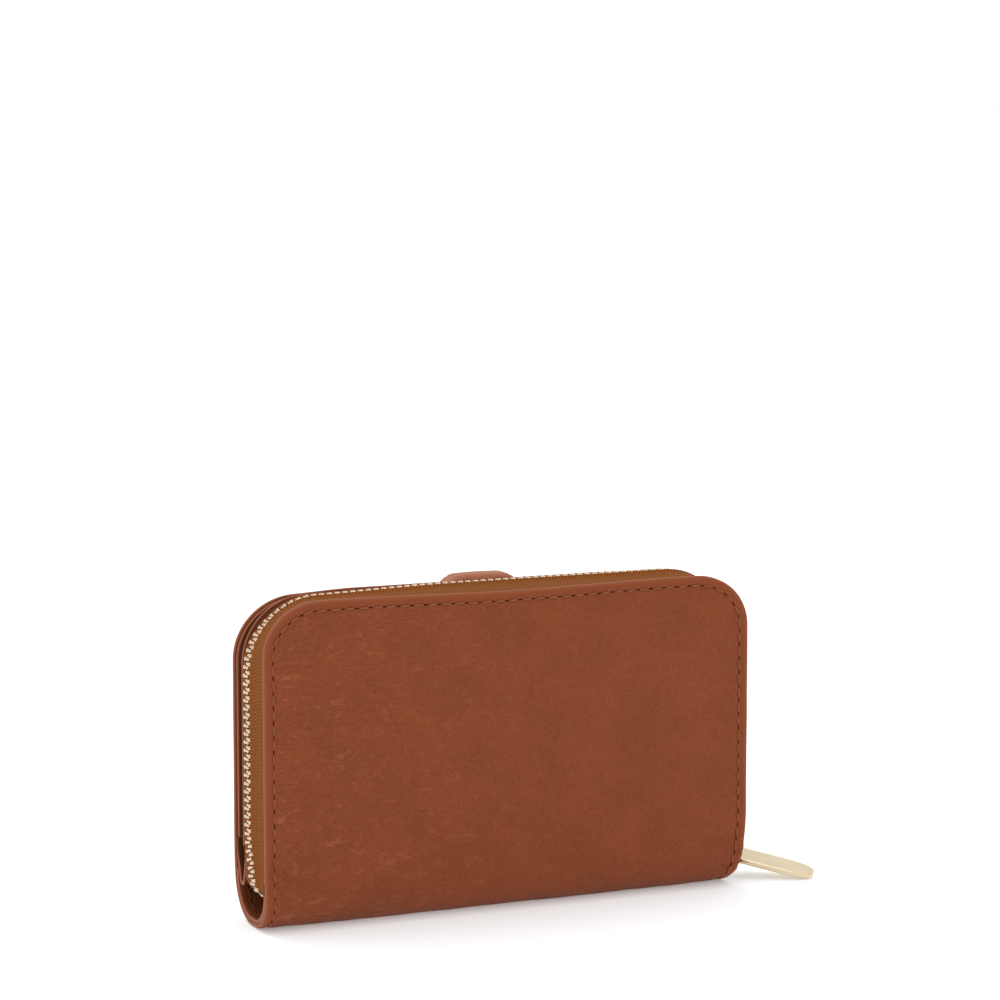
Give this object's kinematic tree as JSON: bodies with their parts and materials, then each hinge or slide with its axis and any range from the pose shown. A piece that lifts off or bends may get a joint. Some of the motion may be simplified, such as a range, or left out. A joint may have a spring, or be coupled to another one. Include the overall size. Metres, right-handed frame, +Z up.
{
  "type": "zip around wallet",
  "caption": "Standing zip around wallet with a folded leather spine, a zipped rear compartment, a front flap with card slots and a snap tab, and a bar puller.",
  "frame": {"origin": "on the floor under the middle of the folded spine", "axes": "+X along the spine towards the puller, +Y from the zipped rear half towards the flap, +Z up"},
  "size_m": [0.1785, 0.0309, 0.0963],
  "materials": {
    "leather": "pebbled, tan",
    "inner_leather": "smooth, tan",
    "spine_lining": "smooth, brown",
    "lining": "twill",
    "board": "fibre board",
    "zip_tape": "herringbone",
    "teeth": "polished pale gold",
    "gilt_metal": "satin pale gold"
  },
  "bodies": {
    "core": {"spine_leather": "leather", "spine_lining": "spine_lining", "inner_shell_fold": "inner_leather", "middle_panel": "inner_leather", "middle_board": "board", "middle_lining": "lining", "middle_slip_pocket": "lining", "compartment_floor": "lining", "card_slot_1": "inner_leather", "card_slot_2": "inner_leather", "card_slot_3": "inner_leather", "front_zip_tape": "zip_tape", "front_teeth": "teeth", "zip_stop": "teeth", "tab_root": "inner_leather", "tab_fold": "inner_leather"},
    "rear": {"rear_panel": "leather", "rear_board": "board", "rear_lining": "lining", "rear_slip_pocket": "lining", "rear_zip_tape": "zip_tape", "rear_teeth": "teeth"},
    "flap": {"flap_panel": "leather", "flap_board": "board", "flap_inner_panel": "inner_leather", "flap_card_slot_1": "inner_leather", "flap_card_slot_2": "inner_leather", "snap_stud": "gilt_metal", "snap_rivet": "gilt_metal"},
    "tab": {"tab_strap": "leather", "tab_lining": "inner_leather", "snap_cap": "gilt_metal", "snap_socket": "gilt_metal"},
    "slider": {"slider_body": "gilt_metal", "slider_bail": "gilt_metal"},
    "link": {"puller_link": "gilt_metal"},
    "puller": {"puller": "gilt_metal"}
  },
  "joints": [
    {"name": "zip_open", "type": "hinge", "parent": "core", "child": "rear", "pos_m": [0, -0.0136, 0.0115], "axis": [1, 0, 0], "range_deg": [0, 90]},
    {"name": "flap_open", "type": "hinge", "parent": "core", "child": "flap", "pos_m": [0, 0.01365, 0.024], "axis": [-1, 0, 0], "range_deg": [0, 108], "deforming": ["tab_strap", "tab_lining", "tab_fold", "snap_cap", "snap_socket"]},
    {"name": "tab_lift", "type": "hinge", "parent": "core", "child": "tab", "pos_m": [0, 0.0093, 0.09445], "axis": [1, 0, 0], "range_deg": [0, 100], "deforming": ["tab_fold"]},
    {"name": "slider_run", "type": "slide", "parent": "core", "child": "slider", "axis": [0, 0, 1], "range_m": [0, 0.05]},
    {"name": "link_swing", "type": "hinge", "parent": "slider", "child": "link", "pos_m": [0.08001, 0.00063, 0.01544], "axis": [0, -1, 0], "range_deg": [0, 80]},
    {"name": "puller_swing", "type": "hinge", "parent": "link", "child": "puller", "pos_m": [0.0809, 0.00176, 0.00635], "axis": [-0.6107, -0.7762, -0.1565], "range_deg": [0, 45]}
  ]
}
